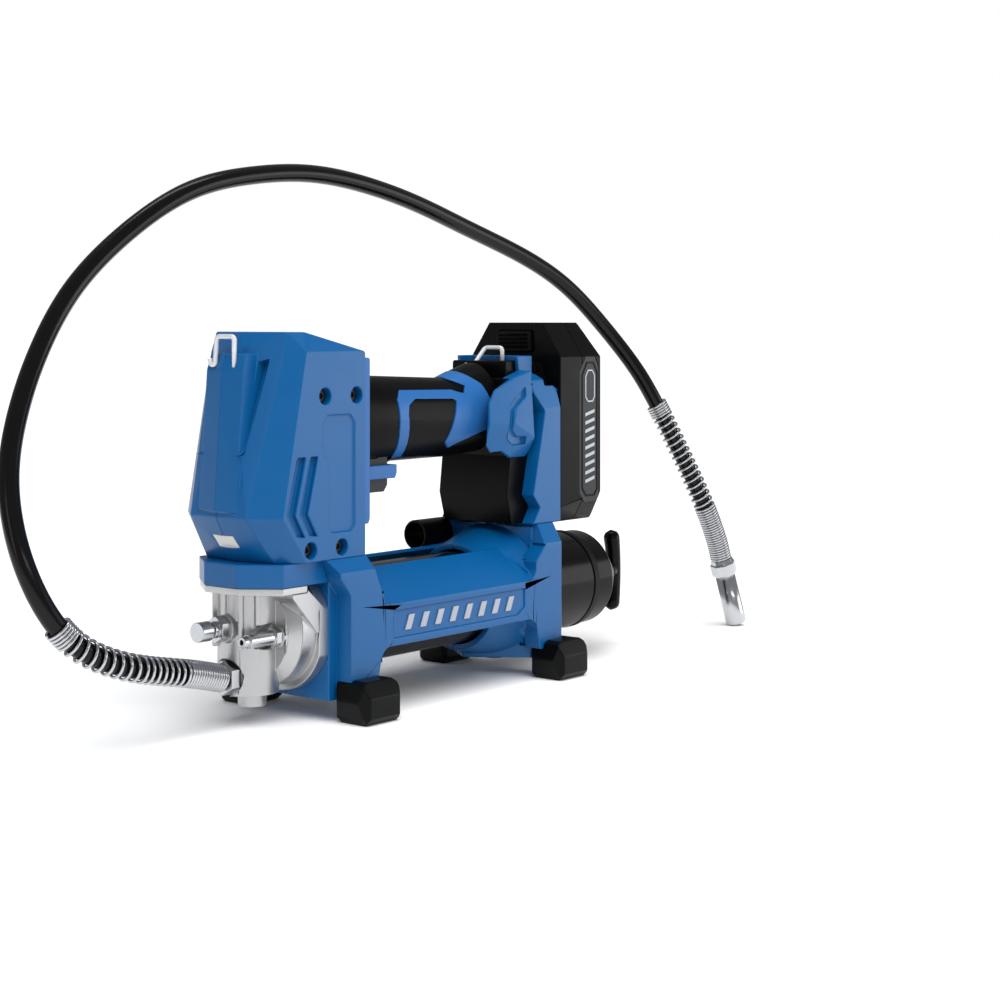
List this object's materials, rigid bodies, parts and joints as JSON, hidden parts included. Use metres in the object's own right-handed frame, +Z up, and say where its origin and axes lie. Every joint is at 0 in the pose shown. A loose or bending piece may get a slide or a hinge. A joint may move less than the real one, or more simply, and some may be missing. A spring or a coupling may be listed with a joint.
{
  "type": "cordless grease gun",
  "caption": "Cordless grease gun: motor tower and frame around a grease barrel, bar grip, slide-on battery, cast pump head and a whip hose with a coupler.",
  "frame": {"origin": "centre of the footprint of the tool without its hose, on the surface that the feet stand on", "axes": "+X from the pump head to the battery and barrel end, +Z up, +Y towards the side with the coupler holder"},
  "size_m": [0.6205, 0.1259, 0.3205],
  "materials": {
    "blue_plastic": "moulded, satin gloss",
    "light_blue_plastic": "moulded, satin",
    "black_plastic": "fine moulded texture",
    "grey_plastic": "moulded",
    "brass_contacts": "plated",
    "steel": "bright",
    "lens": "frosted lamp lens",
    "silver_paint": "silver",
    "cast_aluminium": "as cast, tumbled",
    "zinc_plated": "plated",
    "hook_wire": "plated wire",
    "black_steel": "blackened steel",
    "barrel_paint": "black paint",
    "band_rubber": "matt",
    "follower_rubber": "matt",
    "foot_rubber": "satin",
    "hose_rubber": "glossy"
  },
  "bodies": {
    "frame": {"tower_shell_left": "blue_plastic", "tower_shell_right": "blue_plastic", "tower_rear_cover": "light_blue_plastic", "nose_collar": "blue_plastic", "frame_left": "blue_plastic", "frame_right": "blue_plastic", "frame_right_rear": "blue_plastic", "rear_cheek_left": "blue_plastic", "rear_cheek_right": "blue_plastic", "grip_left": "black_plastic", "grip_right": "black_plastic", "grip_trim_left": "light_blue_plastic", "grip_trim_right": "light_blue_plastic", "battery_dock": "black_plastic", "dock_rail": "black_plastic", "dock_contacts": "brass_contacts", "trigger_bezel": "light_blue_plastic", "trigger_spring": "steel", "switch_block": "grey_plastic", "led_lens": "lens", "tower_screws": "black_steel", "name_plates": "silver_paint", "pump_head": "cast_aluminium", "outlet_nut": "zinc_plated", "bleeder_body": "zinc_plated", "filler_nipple": "zinc_plated", "motor_can": "steel", "gear_plate": "cast_aluminium", "hook_front": "hook_wire", "hook_rear": "hook_wire", "holder_tube": "black_plastic", "foot_front_left": "foot_rubber", "foot_front_right": "foot_rubber", "foot_rear_left": "foot_rubber", "foot_rear_right": "foot_rubber", "hose": "hose_rubber", "guard_near": "zinc_plated", "guard_far": "zinc_plated", "hose_ferrule": "zinc_plated", "coupler": "zinc_plated"},
    "rotor": {"motor_rotor": "steel", "motor_pinion": "steel"},
    "idler": {"idler_gear": "steel"},
    "crank": {"crank_gear": "steel"},
    "plunger": {"pump_plunger": "steel"},
    "trigger_key": {"trigger": "grey_plastic"},
    "battery": {"battery_base": "black_plastic", "battery_lid": "black_plastic", "battery_panels": "grey_plastic"},
    "battery_release": {"battery_latch": "black_plastic"},
    "bleeder": {"bleeder_knob": "zinc_plated"},
    "barrel": {"barrel_tube": "barrel_paint", "barrel_cap": "barrel_paint", "cap_band": "band_rubber", "follower_spring": "steel"},
    "rod": {"plunger_rod": "steel", "t_handle": "barrel_paint"},
    "follower_piston": {"follower": "follower_rubber"}
  },
  "joints": [
    {"name": "motor_spin", "type": "hinge", "parent": "frame", "child": "rotor", "pos_m": [-0.131, 0, 0.15], "axis": [0, 0, 1], "continuous": true},
    {"name": "idler_spin", "type": "hinge", "parent": "frame", "child": "idler", "pos_m": [-0.13388, 0.01817, 0.115], "axis": [0, 0, 1], "continuous": true},
    {"name": "crank_spin", "type": "hinge", "parent": "frame", "child": "crank", "pos_m": [-0.144, 0, 0.09], "axis": [0, 0, 1], "continuous": true},
    {"name": "plunger_stroke", "type": "slide", "parent": "frame", "child": "plunger", "axis": [1, 0, 0], "range_m": [-0.0025, 0.0025]},
    {"name": "trigger_press", "type": "slide", "parent": "frame", "child": "trigger_key", "axis": [0, 0, 1], "range_m": [0, 0.006], "stiffness_N_per_m": 800, "springref_m": -0.003, "deforming": ["trigger_spring"]},
    {"name": "battery_slide", "type": "slide", "parent": "frame", "child": "battery", "axis": [0, 0, 1], "range_m": [0, 0.1]},
    {"name": "latch_press", "type": "slide", "parent": "battery", "child": "battery_release", "axis": [1, 0, 0], "range_m": [0, 0.0025], "stiffness_N_per_m": 600, "springref_m": -0.002},
    {"name": "bleeder_turn", "type": "hinge", "parent": "frame", "child": "bleeder", "pos_m": [-0.186, 0, 0.055], "axis": [-1, 0, 0], "range_deg": [0, 360]},
    {"name": "barrel_unscrew", "type": "hinge", "parent": "frame", "child": "barrel", "pos_m": [-0.023, 0, 0.051], "axis": [1, 0, 0], "range_deg": [0, 1080]},
    {"name": "rod_pull", "type": "slide", "parent": "barrel", "child": "rod", "axis": [1, 0, 0], "range_m": [0, 0.2]},
    {"name": "follower_travel", "type": "slide", "parent": "barrel", "child": "follower_piston", "axis": [1, 0, 0], "range_m": [-0.165, 0], "deforming": ["follower_spring"]}
  ],
  "couplings": [
    {"joint": "idler_spin", "follows": "motor_spin", "ratio": -0.35294},
    {"joint": "crank_spin", "follows": "motor_spin", "ratio": 0.10588}
  ]
}
